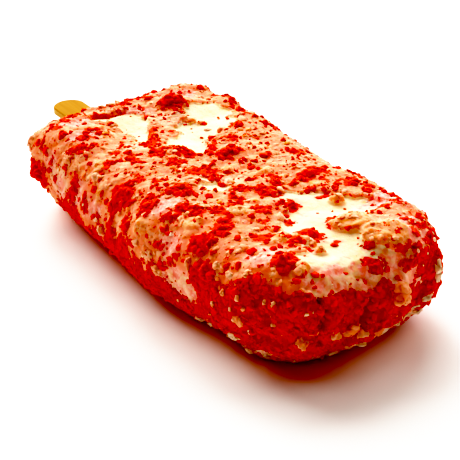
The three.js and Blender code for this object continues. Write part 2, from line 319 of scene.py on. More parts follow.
def face_directions(face):
    """The directions of a face's two sizes, and the direction in which it is looked at."""
    look, first_axis, second_axis = FACES[face]
    first, second = np.zeros(3), np.zeros(3)
    if face == "top":
        turn = math.radians(TOP_TURN)
        first[:2] = math.cos(turn), math.sin(turn)
        second[:2] = math.sin(turn), -math.cos(turn)
    else:
        first[first_axis] = second[second_axis] = 1.0
    return first, second, np.array(look)


def each_place(*lists):
    """Each row of the lists of places, with its face put first."""
    for places in lists:
        for face, rows in places.items():
            for row in rows:
                yield face, *row


def patch_field(tree, points, wobble, *lists):
    """How many millimetres inside the nearest patch's edge each point is, below 0 outside it."""
    inside = np.full(len(points), FAR_OUTSIDE)
    for face, first, second, first_half, second_half in each_place(*lists):
        away = points - np.array(place(tree, face, first, second)[0])
        across, along, through = (away @ direction / MM for direction in face_directions(face))
        middling = 0.5 * (first_half + second_half)
        reach = np.sqrt((across / first_half) ** 2 + (along / second_half) ** 2 + (through / middling) ** 2)
        inside = np.maximum(inside, (1 - reach) * min(first_half, second_half))
    return inside + wobble


def smooth_step(low, high, values):
    share = np.clip((values - low) / (high - low), 0.0, 1.0)
    return share * share * (3 - 2 * share)


def waves(points, length, seed):
    """Soft noise from about -1 to 1, with waves of the length given in millimetres."""
    scale = 1.0 / (length * MM)
    offset = Vector((seed * 17.3, seed * 5.1, seed * 11.7))
    return np.array([noise.noise(Vector(p) * scale + offset) for p in points])


def grains(points, size, seed):
    """Splits the surface into blocky grains of about that size in millimetres.

    Gives each point two numbers: 0 in the cracks to 1 on a grain's top, and the grain's own draw, 0 to 1.
    """
    scale = 1.0 / (size * MM)
    offset = Vector((seed * 3.7, seed * 13.1, seed * 7.9))
    tops = np.empty(len(points))
    draws = np.empty(len(points))
    for index, point in enumerate(points):
        distances, centres = noise.voronoi(Vector(point) * scale + offset)
        tops[index] = distances[1] - distances[0]
        draws[index] = noise.noise(centres[0] * 5.3)
    return smooth_step(0.0, 0.32, tops), np.clip(0.5 + 0.9 * draws, 0.0, 1.0)


def seam_relief(tree, points):
    """The rise and fall of the seams in millimetres: a soft ridge or a narrow crack along each line."""
    relief = np.zeros(len(points))
    for face, line, half_width, rise in SEAMS:
        stops = [np.array(place(tree, face, *stop)[0]) for stop in line]
        nearest = np.full(len(points), np.inf)
        for start, end in zip(stops, stops[1:]):
            run = end - start
            share = np.clip((points - start) @ run / (run @ run), 0, 1)
            nearest = np.minimum(nearest, np.linalg.norm(points - start - share[:, None] * run, axis=1))
        relief += rise * np.exp(-((nearest / (half_width * MM)) ** 2))
    return relief


# --- Nodes and meshes --------------------------------------------------------------------------------------
# The kinds of node used: the type, its settings, the sockets fed in order, and the output used.
ADD, MULTIPLY, MAXIMUM, ABSOLUTE, POWER = (
    ("ShaderNodeMath", {"operation": operation}, (0, 1), 0)
    for operation in ("ADD", "MULTIPLY", "MAXIMUM", "ABSOLUTE", "POWER")
)
MIX = ("ShaderNodeMix", {"data_type": "RGBA"}, (0, 6, 7), 2)
STRETCH = (
    "ShaderNodeMapRange", {"interpolation_type": "SMOOTHSTEP"}, ("Value", "From Min", "From Max"), "Result"
)
WHERE = ("ShaderNodeTexCoord", {}, (), "Object")
NOISE = ("ShaderNodeTexNoise", {}, ("Vector", "Scale", "Detail", "Distortion"), "Fac")
STORED = ("ShaderNodeAttribute", {}, (), "Fac")
BUMP = ("ShaderNodeBump", {}, ("Height", "Distance", "Strength"), "Normal")
BACKGROUND = ("ShaderNodeBackground", {}, ("Color", "Strength"), "Background")
RANDOM = ("FunctionNodeRandomValue", {"data_type": "FLOAT"}, ("Seed",), 1)

# Share of the light that wanders inside a crumb or ice cream before it comes out.
WANDERING_LIGHT = 0.85


def feed(tree, socket, value):
    """Links an output to a socket, or sets its value. A colour of three numbers gets an alpha of 1."""
    if isinstance(value, bpy.types.NodeSocket):
        tree.links.new(value, socket)
    elif socket.type == "RGBA" and len(value) == 3:
        socket.default_value = [*value, 1]
    else:
        socket.default_value = value


def add_node(tree, kind, *values, **more_settings):
    """Adds a node of that kind, feeds its sockets in order and gives the output used, or all of them."""
    node_type, settings, sockets, result = kind
    node = tree.nodes.new(node_type)
    for name, value in {**settings, **more_settings}.items():
        setattr(node, name, value)
    for socket, value in zip(sockets, values):
        feed(tree, node.inputs[socket], value)
    return node.outputs if result is None else node.outputs[result]


def new_material(name, roughness, specular, depth=0.0, tint=(1.0, 1.0, 1.0)):
    """A material with a plain surface shader. Returns it, its tree and the shader.

    depth is how far light wanders inside, in millimetres, and tint is how far each colour gets by comparison.
    """
    material = bpy.data.materials.new(name)
    material.use_nodes = True
    tree = material.node_tree
    shader = tree.nodes["Principled BSDF"]
    surface = {"Roughness": roughness, "Specular IOR Level": specular}
    if depth:
        surface |= {
            "Subsurface Weight": WANDERING_LIGHT,
            "Subsurface Radius": tint,
            "Subsurface Scale": depth * MM,
        }
    for socket, value in surface.items():
        feed(tree, shader.inputs[socket], value)
    return material, tree, shader


def dress(tree, shader, surface, height, depth):
    """Gives the shader its colour, and a fine relief from a height pattern, depth millimetres deep."""
    feed(tree, shader.inputs["Base Color"], surface)
    feed(tree, shader.inputs["Normal"], add_node(tree, BUMP, height, depth * MM, 1.0))


def new_object(name, data):
    made = bpy.data.objects.new(name, data)
    bpy.context.scene.collection.objects.link(made)
    return made


def evaluated_mesh(source):
    """The object's mesh with its modifiers applied, as a new plain mesh."""
    graph = bpy.context.evaluated_depsgraph_get()
    return bpy.data.meshes.new_from_object(source.evaluated_get(graph), depsgraph=graph)


def coordinates(mesh):
    flat = np.empty(len(mesh.vertices) * 3)
    mesh.vertices.foreach_get("co", flat)
    return flat.reshape(-1, 3)


def set_coordinates(mesh, points):
    """Writes the points back, none of them below the level that the bar lies on."""
    points[:, 2] = np.maximum(points[:, 2], CAD_BOX[0][2])
    mesh.vertices.foreach_set("co", points.ravel())
    mesh.update()


def vertex_normals(mesh):
    flat = np.empty(len(mesh.vertices) * 3)
    mesh.vertex_normals.foreach_get("vector", flat)
    return flat.reshape(-1, 3)


def store(mesh, name, values):
    """Keeps one number for each vertex under a name that materials and node trees read."""
    mesh.attributes.new(name, "FLOAT", "POINT").data.foreach_set("value", values.astype(np.float32))


def finish_piece(piece, material, shade_smooth):
    """Gives a finished piece its material, its shading and the body it rides on."""
    piece.data.materials.clear()
    piece.data.materials.append(material)
    if shade_smooth:
        piece.data.shade_smooth()
    else:
        piece.data.shade_flat()
    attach(piece, BODY)


# --- The bar -----------------------------------------------------------------------------------------------
# How many of the loose crumbs stay on the underside.
UNDERSIDE_SHARE = 0.35


def fine_bar_mesh(voxel):
    """The CAD bar's shape as an even fine mesh."""
    mesh = frame["nodes"][BAR_NODE].data.copy()
    work = bmesh.new()
    work.from_mesh(mesh)
    bmesh.ops.remove_doubles(work, verts=work.verts, dist=1e-6)
    work.to_mesh(mesh)
    work.free()
    rough = new_object("rough_bar", mesh)
    remesh = rough.modifiers.new("even", "REMESH")
    remesh.mode = "VOXEL"
    remesh.voxel_size = voxel * MM
    fine = evaluated_mesh(rough)
    bpy.data.objects.remove(rough)
    bpy.data.meshes.remove(mesh)
    return fine


def near_slot(points):
    """1 inside and at the mouth of the stick's slot, 0 away from it."""
    room = 1.2 * MM
    middle = (STICK_LOW + STICK_HIGH) / 2
    half = (STICK_HIGH - STICK_LOW) / 2
    beside = np.abs(points[:, 1] - middle.y) < half.y + room
    level = np.abs(points[:, 2] - middle.z) < half.z + room
    along = points[:, 0] < STICK_HIGH.x + room
    return (beside & level & along).astype(float)


def coat_fields(tree, points, normals):
    """The coat's patches at each point, each from 0 to 1."""
    broad = waves(points, 4.0, 1)
    fine = waves(points, 1.5, 2)
    tiny = waves(points, 0.8, 10)
    drift = waves(points, 5.2, 3) + 0.5 * waves(points, 2.1, 4) + 0.25 * fine
    top = np.clip(normals[:, 2], 0, 1)
    height = points[:, 2] / (2 * BAR_HALF.z)
    along = (points[:, 0] - BAR_MIDDLE.x) / BAR_HALF.x
    low = smooth_step(0.72, 0.5, height) * (1 - top)
    foot = smooth_step(0.46, 0.3, height) * smooth_step(-0.72, -0.6, along)
    tipward = smooth_step(0.5, 0.66, along + 0.06 * broad) * smooth_step(0.86, 0.76, height + 0.03 * fine)
    ragged = 0.8 * broad + 1.0 * fine + 0.5 * tiny
    field = partial(patch_field, tree, points)
    bare = smooth_step(-0.4, -0.1, field(ragged, BARE_PATCHES, BARE_AMONG_RED))
    placed = field(0.25 + 0.5 * broad + 0.9 * fine + 0.6 * tiny, RED_PATCHES)
    placed -= 1.5 * smooth_step(0.3, 0.6, field(0.5 * ragged, BARE_AMONG_RED))
    loose = (
        drift + 0.5 * tiny - 0.62 + 0.5 * low * smooth_step(-0.35, -0.05, along) + 1.2 * tipward + 1.1 * foot
    )
    fringe = smooth_step(0.0, 0.6, field(ragged, FRINGE_PATCHES))
    golden = smooth_step(-0.5, 0.7, field(0.5 * broad + 0.6 * fine, GOLDEN_PATCHES))
    bare *= 1 - smooth_step(0.1, 0.4, golden)
    red = np.maximum(smooth_step(0.0, 0.15, placed), smooth_step(0.0, 0.1, loose) * (1 - bare)) * (1 - fringe)
    red *= 1 - smooth_step(0.1, 0.4, golden)
    return {
        "bare": bare,
        "red": red,
        "halo": np.maximum(smooth_step(-1.4, 0.1, placed), smooth_step(-0.5, 0.1, loose)) * (1 - fringe),
        "fringe": fringe,
        "matted": np.clip(tipward + 0.6 * low, 0, 1),
        "pink": smooth_step(-0.6, 0.9, field(ragged, PINK_PATCHES)),
        "pale": smooth_step(-0.6, 0.9, field(ragged, PALE_PATCHES, FRINGE_PATCHES)),
        "golden": golden,
        "drift": smooth_step(-0.25, 0.35, drift),
    }


def coat_relief(tree, points, fields):
    """How far the coat stands out of the CAD surface, in millimetres. Adds the grains' fields too."""
    coat = 1 - fields["bare"]
    big_top, big_draw = grains(points, 3.6, 5)
    small_top, small_draw = grains(points, 1.3, 6)
    soft = waves(points, 6.0, 7)
    pores = waves(points, 0.9, 8)
    lumpy = waves(points, 2.4, 11)
    crumbly = waves(points, 1.1, 9)
    loose = coat * (1 - 0.75 * fields["matted"])
    crust = big_top * (0.05 + 0.26 * big_draw) + small_top * (0.06 + 0.18 * small_draw)
    relief = 0.1 * coat + loose * crust
    relief += 0.2 * fields["red"] * loose + 0.07 * loose * pores
    relief += coat * fields["matted"] * (0.2 * soft + 0.4 * lumpy + 0.28 * crumbly + 0.12 * pores)
    relief += fields["bare"] * (0.16 * soft + 0.05 * pores - 0.35)
    relief += fields["bare"] * fields["pink"] * (0.4 * lumpy + 0.25 * crumbly)
    relief += fields["golden"] * (0.6 + 0.5 * lumpy + 0.15 * crumbly)
    relief += seam_relief(tree, points)
    fields["draw"] = 0.4 * big_draw + 0.6 * small_draw
    fields["crack"] = 1 - 0.5 * big_top - 0.5 * small_top
    return relief * (1 - near_slot(points))


def bar_material(props):
    """Freeze-dried ice cream under a coat of crushed biscuit: bone dry, so matt all over.

    The bare ice cream is a fine foam, pale cream, with a yellower painted shade laid over it by a noise.
    The coat is a crust of grains, each golden or pale, with an orange painted shade in its cracks, with red
    crumb among them and its dye bled into the grains beside it. Where the red lies matted, on the tip and low
    on the sides, it takes a darker painted shade in its pits and cracks.
    """
    material, tree, shader = new_material(
        "freeze_dried_ice_cream_and_biscuit_crust", 0.92, 0.0, 1.6, (1.0, 0.55, 0.3)
    )
    node = partial(add_node, tree)
    where = node(WHERE)
    bare, red, halo, matted, pink, pale, golden, drift, draw, crack = (
        node(STORED, attribute_name=name)
        for name in ("bare", "red", "halo", "matted", "pink", "pale", "golden", "drift", "draw", "crack")
    )
    foam = node(NOISE, where, 1 / (3.6 * MM), 3)
    zone = node(NOISE, where, 1 / (2.8 * MM), 5, 0.6)
    grain = node(NOISE, where, 1 / (0.9 * MM), 4, 0.4)
    speck = node(NOISE, where, 1 / (1.2 * MM), 2, 0.2)
    # Painted shade: a yellower shaded copy of the ice cream, laid over it by the foam noise.
    cream = node(MIX, node(STRETCH, foam, 0.4, 0.7), props.cream, props.cream_shaded)
    tone = node(ADD, node(MULTIPLY, draw, 0.5), node(MULTIPLY, zone, 0.7))
    biscuit = node(MIX, node(STRETCH, tone, 0.5, 0.53), props.stain, props.biscuit)
    biscuit = node(MIX, node(STRETCH, tone, 0.63, 0.7), biscuit, props.biscuit_pale)
    cracks = node(STRETCH, crack, 0.5, 0.95)
    # Painted shade: a darker orange laid in the cracks between the crust's grains.
    toasted = node(MULTIPLY, cracks, node(STRETCH, grain, 0.4, 0.6))
    biscuit = node(MIX, node(MULTIPLY, toasted, 0.7), biscuit, props.biscuit_crack_shade)
    biscuit = node(MIX, node(MULTIPLY, pale, 0.8), biscuit, props.pale_coat)
    # The stain steeps deeper along the cracks between grains: real dye, and partly painted shade.
    soaked = node(ADD, halo, node(ADD, grain, node(MULTIPLY, cracks, 0.4)))
    steeped = node(MULTIPLY, node(STRETCH, soaked, 0.8, 1.3), 0.85)
    coat = node(MIX, steeped, biscuit, props.stain)
    coat = node(MIX, node(STRETCH, soaked, 1.4, 1.65), coat, props.stain_deep)
    stain = node(MIX, node(STRETCH, grain, 0.42, 0.64), props.pink_deep, props.pink)
    coat = node(MIX, node(MULTIPLY, pink, 0.9), coat, stain)
    nugget = node(MIX, node(STRETCH, grain, 0.38, 0.6), props.golden, props.golden_pale)
    coat = node(MIX, node(STRETCH, golden, 0.3, 0.6), coat, nugget)
    bled = node(MULTIPLY, node(STRETCH, node(ADD, halo, grain), 0.9, 1.5), 0.7)
    mottled = node(ADD, 0.28, node(STRETCH, zone, 0.38, 0.6))
    bled = node(MAXIMUM, bled, node(MULTIPLY, pink, mottled))
    rim = node(MIX, bled, cream, stain)
    # Painted shade: the matted red, on the tip and towards the bottom of the sides, darkens in its pits and
    # in the cracks between grains.
    pits = node(ADD, 0.15, node(STRETCH, node(ADD, speck, crack), 0.75, 1.3))
    deep = node(MULTIPLY, matted, pits)
    crushed = node(MIX, deep, props.red, props.red_dark_and_shade)
    specks = node(STRETCH, node(ADD, speck, node(MULTIPLY, drift, 0.04)), 0.66, 0.675)
    coat = node(MIX, specks, coat, crushed)
    surface = node(MIX, node(STRETCH, node(ADD, bare, grain), 0.86, 1.08), coat, rim)
    surface = node(MIX, node(STRETCH, node(ADD, red, grain), 0.96, 1.0), surface, crushed)
    dress(tree, shader, surface, node(ADD, grain, node(MULTIPLY, speck, 0.6)), 0.12)
    return material


class BarProperties(bpy.types.PropertyGroup):
    """Sizes and colours of the bar's ice cream and coat."""

    voxel: FloatProperty(
        name="Mesh step", description="Spacing of the bar's fine mesh, in millimetres", default=0.44, min=0.2
    )
    cream: colour("Ice cream", "Bare ice cream", "FADAAC")
    # Painted shade of the ice cream: a yellower copy of its colour.
    cream_shaded: colour("Ice cream hollows", "Hollows in the ice cream", "F6CA98")
    biscuit: colour("Biscuit", "Golden biscuit crust", "EE886E")
    biscuit_pale: colour("Pale biscuit", "Pale grains in the crust", "F2A27E")
    # Painted shade in the cracks between the crust's grains.
    biscuit_crack_shade: colour("Toasted biscuit", "Toasted grains in the crust", "E67C50")
    golden: colour("Golden biscuit", "Soft golden mounds", "DC8658")
    golden_pale: colour("Pale golden biscuit", "Their paler grains", "E8A07C")
    pale_coat: colour("Thin coat", "Coat so thin that cream shows", "F4B496")
    stain: colour("Stain", "Biscuit stained by red dye", "EE8264")
    stain_deep: colour("Deep stain", "Biscuit beside red crumbs", "EA7A60")
    pink: colour("Pink", "Cream stained by the red crumbs", "FEB0A0")
    pink_deep: colour("Deep pink", "Strongest stain", "F6887C")
    red: colour("Red", "Crushed red crumb", "D23E30")
    # Painted shade of the crushed red in its pits and cracks.
    red_dark_and_shade: colour("Dark red", "Crushed red crumb in hollows", "AA2418")


def crumb_growth(fields, open_air):
    """How thickly each kind of loose crumb lies at each point, as a share of its full amount."""
    coat = 1 - fields["bare"]
    plain = coat * (1 - fields["red"])
    loose = 1 - 0.7 * fields["matted"]
    clean = 1 - 0.8 * fields["pink"]
    red_crumbs = 0.06 + coat * (0.1 + 0.22 * fields["drift"]) + 0.3 * fields["red"] * loose
    red_crumbs *= 1 - 0.8 * np.maximum(fields["fringe"], fields["golden"])
    red_crumbs += (0.05 + 0.1 * fields["bare"]) * fields["pink"]
    dusted = 0.25 * plain * fields["drift"] * (1 - fields["golden"])
    biscuit_dust = plain + fields["red"] * (0.05 + 0.1 * fields["matted"]) + 0.1 * fields["bare"]
    return {
        "red_grows": open_air * red_crumbs,
        "red_packed": open_air * smooth_step(0.4, 0.9, fields["red"]) * (1 - 0.5 * fields["matted"]),
        "red_dust_grows": open_air * (0.05 + dusted + 0.7 * fields["red"]),
        "biscuit_grows": open_air * (plain + 0.06 * fields["red"]) * loose * clean,
        "biscuit_dust_grows": open_air * biscuit_dust * clean,
        "flecks_grow": open_air
        * (0.02 + 0.4 * np.maximum(fields["pink"], fields["pale"]) + 4 * fields["fringe"]),
    }


class ICEBAR_OT_bar(bpy.types.Operator):
    """Make the bar: ice cream with its crust, as one fine mesh over the CAD bar's shape"""

    bl_idname = "icebar.bar"
    bl_label = "Bar and crust"

    def execute(self, context):
        props = context.scene.icebar_bar
        mesh = fine_bar_mesh(props.voxel)
        bar = new_object("bar_and_crust", mesh)
        tree = BVHTree.FromObject(bar, context.evaluated_depsgraph_get())
        points = coordinates(mesh)
        normals = vertex_normals(mesh)
        fields = coat_fields(tree, points, normals)
        points += normals * (coat_relief(tree, points, fields) * MM)[:, None]
        set_coordinates(mesh, points)
        open_air = (1 - near_slot(points)) * np.where(normals[:, 2] < -0.6, UNDERSIDE_SHARE, 1)
        for name, values in {**fields, **crumb_growth(fields, open_air)}.items():
            store(mesh, name, values)
        finish_piece(bar, bar_material(props), True)
        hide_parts(BAR_NODE)
        return {"FINISHED"}


# --- Loose crumbs ------------------------------------------------------------------------------------------
# How many shapes of crumb each scatter picks from.
CRUMB_SHAPES = 9
# Most crumbs are small: a higher power makes the large ones rarer.
SMALLNESS = 2.2
# How far a crumb leans from the surface, in radians.
LEAN = 0.35
# Seed of each crumb's own shade.
SHADE_SEED = 77
# How finely the large crumbs are meshed: steps of an icosphere.
LUMP_STEPS = 3
# How a large crumb breaks: into how many flats, and how knobbly they are.
BLOCKY = (9, 0.12)
CRUMBLY = (14, 0.3)


def flats_for(draws, count):
    """Random flats of a crumb: their directions, and their distances from its middle in crumb widths."""
    directions = draws.normal(size=(count, 3))
    directions /= np.linalg.norm(directions, axis=1)[:, None]
    return directions, draws.uniform(0.3, 0.47, count)


def blocky_reach(direction, flats):
    """How far a crumb reaches in a direction, as a share of its width: a ball cut down by its flats."""
    directions, distances = flats
    facing = directions @ np.array(direction)
    return float(np.min(np.where(facing > 0.1, distances / np.maximum(facing, 0.1), 0.56)))


def add_crumb(whole, draws, corners):
    """Adds one angular crumb about 1 across to the mesh, and gives its corners."""
    directions = draws.normal(size=(corners, 3))
    directions /= np.linalg.norm(directions, axis=1)[:, None]
    reach = draws.uniform(0.42, 0.54, corners)[:, None] * draws.uniform(0.8, 1.2, 3)
    made = [whole.verts.new(place) for place in directions * reach]
    hull = bmesh.ops.convex_hull(whole, input=made)
    inner = [part for part in hull["geom_interior"] if isinstance(part, bmesh.types.BMVert)]
    bmesh.ops.delete(whole, geom=inner, context="VERTS")
    return [corner for corner in made if corner.is_valid]


def crumb_collection(kinds, corners, seed):
    """A collection of differently shaped crumbs for a scatter to pick from."""
    draws = np.random.default_rng(seed)
    collection = bpy.data.collections.new("crumb_shapes")
    for index in range(kinds):
        work = bmesh.new()
        add_crumb(work, draws, corners)
        mesh = bpy.data.meshes.new(f"crumb_shape_{index}")
        work.to_mesh(mesh)
        work.free()
        collection.objects.link(bpy.data.objects.new(mesh.name, mesh))
    return collection


def scatter_tree(grows, material):
    """A node tree that strews crumbs over a mesh where the attribute named by grows is high."""
    tree = bpy.data.node_groups.new("strew_crumbs", "GeometryNodeTree")
    tree.interface.new_socket("Geometry", in_out="INPUT", socket_type="NodeSocketGeometry")
    for name in ("Crumbs per square metre", "Smallest", "Largest", "Sunk share", "Flatness"):
        tree.interface.new_socket(name, in_out="INPUT", socket_type="NodeSocketFloat")
    tree.interface.new_socket("Seed", in_out="INPUT", socket_type="NodeSocketInt")
    tree.interface.new_socket("Shapes", in_out="INPUT", socket_type="NodeSocketCollection")
    tree.interface.new_socket("Geometry", in_out="OUTPUT", socket_type="NodeSocketGeometry")
    node = partial(add_node, tree)
    given = node(("NodeGroupInput", {}, (), None))
    seed = given["Seed"]

    # Where the crumbs lie.
    share = node(("GeometryNodeInputNamedAttribute", {"data_type": "FLOAT"}, ("Name",), "Attribute"), grows)
    density = node(MULTIPLY, share, given["Crumbs per square metre"])
    strewn = node(("GeometryNodeDistributePointsOnFaces", {}, ("Mesh", "Density", "Seed"), None),
                  given["Geometry"], density, seed)

    # How large each one is, and how deep it sinks in.
    size = node(("ShaderNodeMapRange", {}, ("Value", "To Min", "To Max"), "Result"),
                node(POWER, node(RANDOM, seed), SMALLNESS), given["Smallest"], given["Largest"])
    extent = node(("ShaderNodeCombineXYZ", {}, ("X", "Y", "Z"), "Vector"),
                  size, size, node(MULTIPLY, size, given["Flatness"]))
    inwards = node(("ShaderNodeVectorMath", {"operation": "SCALE"}, (0, "Scale"), 0),
                   strewn["Normal"], node(MULTIPLY, size, given["Sunk share"]))
    placed = node(("GeometryNodeSetPosition", {}, ("Geometry", "Offset"), "Geometry"),
                  strewn["Points"], inwards)

    # How it is turned.
    upright = node(("FunctionNodeAlignRotationToVector", {"axis": "Z"}, ("Vector",), "Rotation"),
                   strewn["Normal"])
    spin = node(("FunctionNodeRandomValue", {"data_type": "FLOAT_VECTOR"}, (0, 1, "Seed"), 0),
                (-LEAN, -LEAN, 0.0), (LEAN, LEAN, math.tau), seed)
    turn = node(
        ("FunctionNodeRotateRotation", {"rotation_space": "LOCAL"}, ("Rotation", "Rotate By"), "Rotation"),
        upright, spin,
    )

    # The crumbs themselves, each with a shade of its own.
    shapes = node(("GeometryNodeCollectionInfo", {}, ("Collection", "Separate Children", "Reset Children"),
                   "Instances"), given["Shapes"], True, True)
    crumbs = node(("GeometryNodeInstanceOnPoints", {},
                   ("Points", "Instance", "Pick Instance", "Rotation", "Scale"), "Instances"),
                  placed, shapes, True, turn, extent)
    shaded = node(("GeometryNodeStoreNamedAttribute", {"data_type": "FLOAT", "domain": "INSTANCE"},
                   ("Geometry", "Name", "Value"), "Geometry"), crumbs, "tone", node(RANDOM, SHADE_SEED))
    real = node(("GeometryNodeRealizeInstances", {}, ("Geometry",), "Geometry"), shaded)
    dressed = node(("GeometryNodeSetMaterial", {}, ("Geometry", "Material"), "Geometry"), real, material)
    node(("NodeGroupOutput", {}, (0,), None), dressed)
    return tree


def strew(name, material, slot, grows, per_cm2, sizes, sunk, flatness, seed, corners, shade_smooth=False):
    """Makes one piece of loose crumbs strewn over the bar.

    sizes are the smallest and largest width in millimetres, sunk is the share of its width that a crumb
    sinks in, flatness is its height as a share of its width, and corners is how many corners it starts from.
    """
    bar = bpy.data.objects["bar_and_crust"]
    shapes = crumb_collection(CRUMB_SHAPES, corners, seed)
    tree = scatter_tree(grows, material)
    scatter = bar.modifiers.new("strew", "NODES")
    scatter.node_group = tree
    values = {
        "Crumbs per square metre": per_cm2 * 1e4,
        "Smallest": sizes[0] * MM,
        "Largest": sizes[1] * MM,
        "Sunk share": -sunk,
        "Flatness": flatness,
        "Seed": seed,
        "Shapes": shapes,
    }
    for item in tree.interface.items_tree:
        if item.in_out == "INPUT" and item.name in values:
            scatter[item.identifier] = values[item.name]
    mesh = evaluated_mesh(bar)
    bar.modifiers.remove(scatter)
    bpy.data.node_groups.remove(tree)
    for shape in list(shapes.objects):
        bpy.data.meshes.remove(shape.data)
    bpy.data.collections.remove(shapes)
    set_coordinates(mesh, coordinates(mesh))
    mesh.name = name
    finish_piece(new_object(name, mesh), material, shade_smooth)


def add_lump(whole, draws, centre, extents, flat_count, knobbliness, shade):
    """Adds one large crumb. extents are its three widths in metres, as the columns of a matrix."""
    before = len(whole.verts)
    bmesh.ops.create_icosphere(whole, subdivisions=LUMP_STEPS, radius=1.0)
    whole.verts.ensure_lookup_table()
    flats = flats_for(draws, flat_count)
    shift = Vector(draws.uniform(-50, 50, 3))
    tone = whole.verts.layers.float["tone"]
    for vertex in whole.verts[before:]:
        direction = vertex.co.normalized()
        reach = blocky_reach(direction, flats) * 1.12
        bumps = noise.noise(direction * 1.7 + shift) + 0.6 * noise.noise(direction * 5.3 + shift)
        reach *= 1 + knobbliness * bumps
        vertex.co = Vector(extents @ (np.array(direction) * reach)) + centre
        vertex[tone] = shade


def set_lumps(name, material, slot, lumps, seed, flat_count, knobbliness):
    """Makes one piece from a list of lumps, each a cluster of crumbs, with more crumbs in a larger lump."""
    bar = bpy.data.objects["bar_and_crust"]
    tree = BVHTree.FromObject(bar, bpy.context.evaluated_depsgraph_get())
    draws = np.random.default_rng(seed)
    whole = bmesh.new()
    whole.verts.layers.float.new("tone")
    for face, first, second, first_size, second_size, rise in each_place(lumps):
        middle, _ = place(tree, face, first, second)
        across, along, through = face_directions(face)
        shade = draws.uniform(0, 0.5)
        parts = min(14, 4 + round(first_size * second_size / 1.5))
        for _ in range(parts):
            share = draws.uniform(1.2, 1.9) / math.sqrt(parts)
            turn = draws.uniform(0, math.tau)
            away = (0.55 - 0.5 * share) * math.sqrt(draws.uniform(0, 1))
            shift = across * first_size * math.cos(turn) + along * second_size * math.sin(turn)
            centre, normal, _, _ = tree.find_nearest(middle + Vector(shift * away * MM))
            centre = centre + normal * (draws.uniform(-0.2, 0.05) * rise * MM)
            widths = np.array([first_size * share, second_size * share, rise * draws.uniform(0.7, 1.15)]) * MM
            extents = np.column_stack([across, along, through]) * widths
            add_lump(whole, draws, centre, extents, flat_count, knobbliness,
                     np.clip(shade + draws.uniform(-0.2, 0.2), 0, 1))
    mesh = bpy.data.meshes.new(name)
    bmesh.ops.recalc_face_normals(whole, faces=whole.faces)
    whole.to_mesh(mesh)
    whole.free()
    set_coordinates(mesh, coordinates(mesh))
    finish_piece(new_object(name, mesh), material, True)


def red_crumb_material(props):
    """Cake crumb dyed a strong red and freeze-dried: matt and open, its red darker in places by a fine noise
    and each crumb's own tone.
    """
    material, tree, shader = new_material("red_dyed_cake_crumb", 0.85, 0.0, 0.25, (1.0, 0.3, 0.15))
    node = partial(add_node, tree)
    where = node(WHERE)
    grain = node(NOISE, where, 1 / (0.6 * MM), 3, 0.3)
    tone = node(STORED, attribute_name="tone")
    share = node(ADD, node(MULTIPLY, tone, 0.6), node(STRETCH, grain, 0.35, 0.7))
    colour = node(MIX, node(STRETCH, share, 0.2, 1.2), props.red, props.red_dark_and_shade)
    dress(tree, shader, colour, grain, 0.12)
    return material


def biscuit_crumb_material(props):
    """Crushed golden biscuit: a dry starchy crumb, matt, pale where it broke, golden on its skin.

    Some crumbs have taken up the red dye and turned orange.
    """
    material, tree, shader = new_material("crushed_golden_biscuit", 0.88, 0.0, 0.3, (1.0, 0.95, 0.9))
    node = partial(add_node, tree)
    where = node(WHERE)
    grain = node(NOISE, where, 1 / (0.9 * MM), 4, 0.3)
    fine = node(NOISE, where, 1 / (0.4 * MM), 3)
    tone = node(STORED, attribute_name="tone")
    colour = node(MIX, node(STRETCH, tone, 0.1, 0.5), props.biscuit_light, props.biscuit)
    colour = node(MIX, node(STRETCH, tone, 0.72, 0.74), colour, props.biscuit_stained)
    colour = node(MIX, node(STRETCH, tone, 0.92, 0.94), colour, props.biscuit_toasted)
    colour = node(MIX, node(STRETCH, grain, 0.5, 0.75), colour, props.biscuit_stained)
    pits = node(MULTIPLY, node(STRETCH, fine, 0.58, 0.72), 0.4)
    colour = node(MIX, pits, colour, props.biscuit_toasted)
    dress(tree, shader, colour, node(ADD, grain, node(MULTIPLY, fine, 0.6)), 0.1)
    return material


def fleck_material(props):
    """Flakes of the ice cream's own foam, stained pink by the dye: dry, matt and pale."""
    material, tree, shader = new_material("stained_ice_cream_flakes", 0.9, 0.0, 0.3, (1.0, 0.95, 0.9))
    node = partial(add_node, tree)
    where = node(WHERE)
    grain = node(NOISE, where, 1 / (0.7 * MM), 3)
    tone = node(STORED, attribute_name="tone")
    colour = node(MIX, node(STRETCH, tone, 0.3, 0.8), props.fleck_pale, props.fleck_pink)
    dress(tree, shader, colour, grain, 0.1)
    return material


class CrumbProperties(bpy.types.PropertyGroup):
    """Amounts, sizes and colours of the loose crumbs."""

    red_crumbs: FloatProperty(
        name="Red crumbs", description="Coarse red crumbs per cm² of red coat", default=80.0
    )
    red_dust: FloatProperty(name="Red dust", description="Fine red crumbs per cm² of red coat", default=45.0)
    red_matted: FloatProperty(
        name="Matted red crumbs", description="Flat red crumbs per cm² of red patches", default=120.0
    )
    biscuit_crumbs: FloatProperty(
        name="Biscuit crumbs", description="Coarse biscuit crumbs per cm² of tan coat", default=28.0
    )
    biscuit_dust: FloatProperty(
        name="Biscuit dust", description="Fine biscuit crumbs per cm² of tan coat", default=30.0
    )
    flecks: FloatProperty(name="Flakes", description="Pale flakes per cm² where they lie", default=14.0)
    seed: IntProperty(name="Seed", description="Seed of every random draw", default=4)
    red: colour("Red", "Lit red crumb", "D84032")
    # A darker red laid over each crumb by a fine noise and its own tone.
    red_dark_and_shade: colour("Dark red", "Red crumb in its pits", "CC3A2C")
    biscuit: colour("Biscuit", "Golden biscuit crumb", "EE8C6A")
    biscuit_light: colour("Light biscuit", "Freshly broken biscuit", "F6AA8A")
    biscuit_stained: colour("Stained biscuit", "Biscuit that took up the dye", "EC7A56")
    biscuit_toasted: colour("Toasted biscuit", "Biscuit's toasted skin", "E8864E")
    fleck_pale: colour("Pale flake", "Unstained flake", "FCD2B2")
    fleck_pink: colour("Pink flake", "Stained flake", "F8B8A0")


